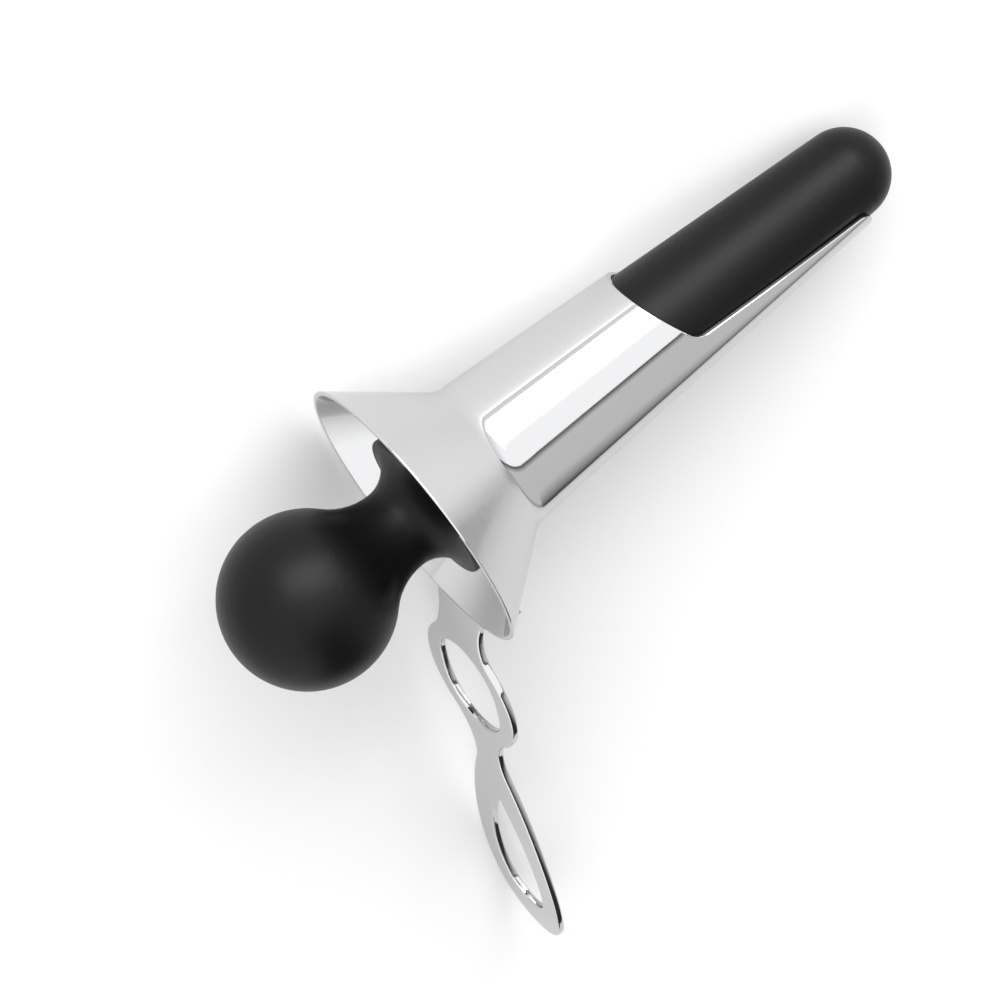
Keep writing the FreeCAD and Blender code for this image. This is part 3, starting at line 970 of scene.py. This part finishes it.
def add_softbox(name, place, target, size, power):
    """Large rectangular light that faces a point."""
    data = bpy.data.lights.new(name, "AREA")
    data.shape = "RECTANGLE"
    data.size, data.size_y = size
    data.energy = power
    box = bpy.data.objects.new(name, data)
    bpy.context.scene.collection.objects.link(box)
    box.location = place
    box.rotation_euler = (Vector(target) - Vector(place)).to_track_quat("-Z", "Y").to_euler()


def add_floor():
    """Plain pale floor under the instrument."""
    stage = sizes("speculum_stage")
    deselect_everything()
    bpy.ops.mesh.primitive_plane_add(size=stage.floor_size)
    floor = bpy.context.object
    floor.name = "Floor"
    material = bpy.data.materials.new("Pale floor")
    material.use_nodes = True
    shader = material.node_tree.nodes["Principled BSDF"]
    shader.inputs["Base Color"].default_value = (*stage.floor_colour, 1)
    shader.inputs["Roughness"].default_value = stage.floor_roughness
    shader.inputs["Specular IOR Level"].default_value = stage.floor_gloss
    floor.data.materials.append(material)


def band_ramp(nodes, name, stops):
    """Grey ramp of the surroundings from its (place, grey) stops."""
    ramp = nodes.new("ShaderNodeValToRGB")
    ramp.name = name
    elements = ramp.color_ramp.elements
    while len(elements) < len(stops):
        elements.new(0.5)
    for element, (place, grey) in zip(elements, stops):
        element.position = place
        element.color = (grey, grey, grey, 1)
    return ramp


def scaled(nodes, factor, offset):
    """Node that multiplies a value by a factor and adds an offset."""
    node = nodes.new("ShaderNodeMath")
    node.operation = "MULTIPLY_ADD"
    node.inputs[1].default_value = factor
    node.inputs[2].default_value = offset
    return node


def centred(nodes):
    """Node that takes a direction's part from -1 to 1 to a place on a ramp."""
    return scaled(nodes, 0.5, 0.5)


def colour_mix(nodes, blend="MIX"):
    """Node that blends two colours, the whole way unless its factor is linked."""
    node = nodes.new("ShaderNodeMix")
    node.data_type = "RGBA"
    node.blend_type = blend
    node.inputs["Factor"].default_value = 1.0
    return node


def light_surroundings():
    """White studio wall on the near and rim sides, a grey one on the far side.

    A dark edge divides them, as between the two reflectors of a light tent, and
    both walls change where they meet the table. The foot of the grey wall has a
    dark gap beyond its rim side. The camera itself sees a plain grey backdrop.
    """
    world = bpy.context.scene.world or bpy.data.worlds.new("Surroundings")
    bpy.context.scene.world = world
    world.use_nodes = True
    nodes, links = world.node_tree.nodes, world.node_tree.links
    place = nodes.new("ShaderNodeTexCoord")
    split = nodes.new("ShaderNodeSeparateXYZ")
    links.new(place.outputs["Generated"], split.inputs["Vector"])

    rim_side = scaled(nodes, -1.0, -RIM_SIDE_FROM)
    toward_white = nodes.new("ShaderNodeMath")
    toward_white.operation = "MAXIMUM"
    across = centred(nodes)
    walls = band_ramp(nodes, "Walls", WALL_STOPS)
    links.new(split.outputs["X"], rim_side.inputs[0])
    links.new(rim_side.outputs["Value"], toward_white.inputs[0])
    links.new(split.outputs["Y"], toward_white.inputs[1])
    links.new(toward_white.outputs["Value"], across.inputs[0])
    links.new(across.outputs["Value"], walls.inputs["Fac"])

    white_foot = band_ramp(nodes, "Foot of the white wall", WHITE_FOOT_STOPS)
    grey_foot = band_ramp(nodes, "Foot of the grey wall", GREY_FOOT_STOPS)
    gap_place = centred(nodes)
    gap = band_ramp(nodes, "Gap between the walls", GAP_STOPS)
    gapped = colour_mix(nodes, "MULTIPLY")
    links.new(split.outputs["Z"], white_foot.inputs["Fac"])
    links.new(split.outputs["Z"], grey_foot.inputs["Fac"])
    links.new(split.outputs["X"], gap_place.inputs[0])
    links.new(gap_place.outputs["Value"], gap.inputs["Fac"])
    links.new(grey_foot.outputs["Color"], gapped.inputs["A"])
    links.new(gap.outputs["Color"], gapped.inputs["B"])

    grey_side = nodes.new("ShaderNodeMath")
    grey_side.operation = "LESS_THAN"
    grey_side.inputs[1].default_value = 0.0
    feet = colour_mix(nodes)
    shaded = colour_mix(nodes, "MULTIPLY")
    links.new(toward_white.outputs["Value"], grey_side.inputs[0])
    links.new(grey_side.outputs["Value"], feet.inputs["Factor"])
    links.new(white_foot.outputs["Color"], feet.inputs["A"])
    links.new(gapped.outputs["Result"], feet.inputs["B"])
    links.new(walls.outputs["Color"], shaded.inputs["A"])
    links.new(feet.outputs["Result"], shaded.inputs["B"])

    ray = nodes.new("ShaderNodeLightPath")
    seen = colour_mix(nodes)
    seen.inputs["B"].default_value = (BACKDROP_GREY, BACKDROP_GREY, BACKDROP_GREY, 1)
    links.new(ray.outputs["Is Camera Ray"], seen.inputs["Factor"])
    links.new(shaded.outputs["Result"], seen.inputs["A"])
    links.new(seen.outputs["Result"], nodes["Background"].inputs["Color"])
    nodes["Background"].inputs["Strength"].default_value = sizes("speculum_stage").wall_light


class SPECULUM_OT_stage(Operator):
    """Adds the camera, the floor and the lights"""

    bl_idname = "speculum.stage"
    bl_label = "Set the stage"

    def execute(self, context):
        add_camera()
        add_floor()
        light_surroundings()
        add_softbox(
            "Window side",
            place=(0.35, 1.2, 0.6),
            target=(0, 0, 0),
            size=(1.5, 0.9),
            power=22,
        )
        context.scene.view_settings.view_transform = "Standard"
        return {"FINISHED"}


class SPECULUM_OT_funnel(Operator):
    """Models the spun funnel"""

    bl_idname = "speculum.funnel"
    bl_label = "Funnel"

    def execute(self, context):
        lay_in_place(make_funnel(), "funnel", "speculum", polished_steel())
        return {"FINISHED"}


class SPECULUM_OT_tube(Operator):
    """Models the tube and its window"""

    bl_idname = "speculum.tube"
    bl_label = "Tube"

    def execute(self, context):
        lay_in_place(make_tube(), "tube", "speculum", polished_steel())
        return {"FINISHED"}


class SPECULUM_OT_handle(Operator):
    """Models the two-ring plate handle"""

    bl_idname = "speculum.handle"
    bl_label = "Handle"

    def execute(self, context):
        lay_in_place(make_handle(), "handle", "speculum", polished_steel())
        return {"FINISHED"}


class SPECULUM_OT_obturator(Operator):
    """Models the sliding obturator"""

    bl_idname = "speculum.obturator"
    bl_label = "Obturator"

    def execute(self, context):
        lay_in_place(make_obturator(), "obturator", "obturator", black_plastic())
        return {"FINISHED"}


class SPECULUM_PT_panel(Panel):
    """Lists the pieces and their sizes"""

    bl_idname = "SPECULUM_PT_panel"
    bl_label = "Speculum"
    bl_space_type = "VIEW_3D"
    bl_region_type = "UI"
    bl_category = "Speculum"

    def draw(self, context):
        for operator in OPERATORS:
            self.layout.operator(operator.bl_idname)
        for name, group in GROUPS.items():
            box = self.layout.box()
            settings = getattr(context.scene, name)
            for prop in group.__annotations__:
                box.prop(settings, prop)


GROUPS = {
    "speculum_tube": SpeculumTubeSizes,
    "speculum_handle": SpeculumHandleSizes,
    "speculum_obturator": SpeculumObturatorSizes,
    "speculum_finish": SpeculumFinish,
    "speculum_stage": SpeculumStage,
}
OPERATORS = [
    SPECULUM_OT_stage,
    SPECULUM_OT_funnel,
    SPECULUM_OT_tube,
    SPECULUM_OT_handle,
    SPECULUM_OT_obturator,
]


def register():
    for name, group in GROUPS.items():
        bpy.utils.register_class(group)
        setattr(bpy.types.Scene, name, PointerProperty(type=group))
    for operator in OPERATORS:
        bpy.utils.register_class(operator)
    bpy.utils.register_class(SPECULUM_PT_panel)


def unregister():
    bpy.utils.unregister_class(SPECULUM_PT_panel)
    for operator in reversed(OPERATORS):
        bpy.utils.unregister_class(operator)
    for name, group in reversed(GROUPS.items()):
        delattr(bpy.types.Scene, name)
        bpy.utils.unregister_class(group)


def main():
    register()
    bpy.ops.speculum.stage()
    bpy.ops.speculum.funnel()
    bpy.ops.speculum.tube()
    bpy.ops.speculum.handle()
    bpy.ops.speculum.obturator()
    bpy.context.view_layer.update()


if __name__ == "__main__":
    main()
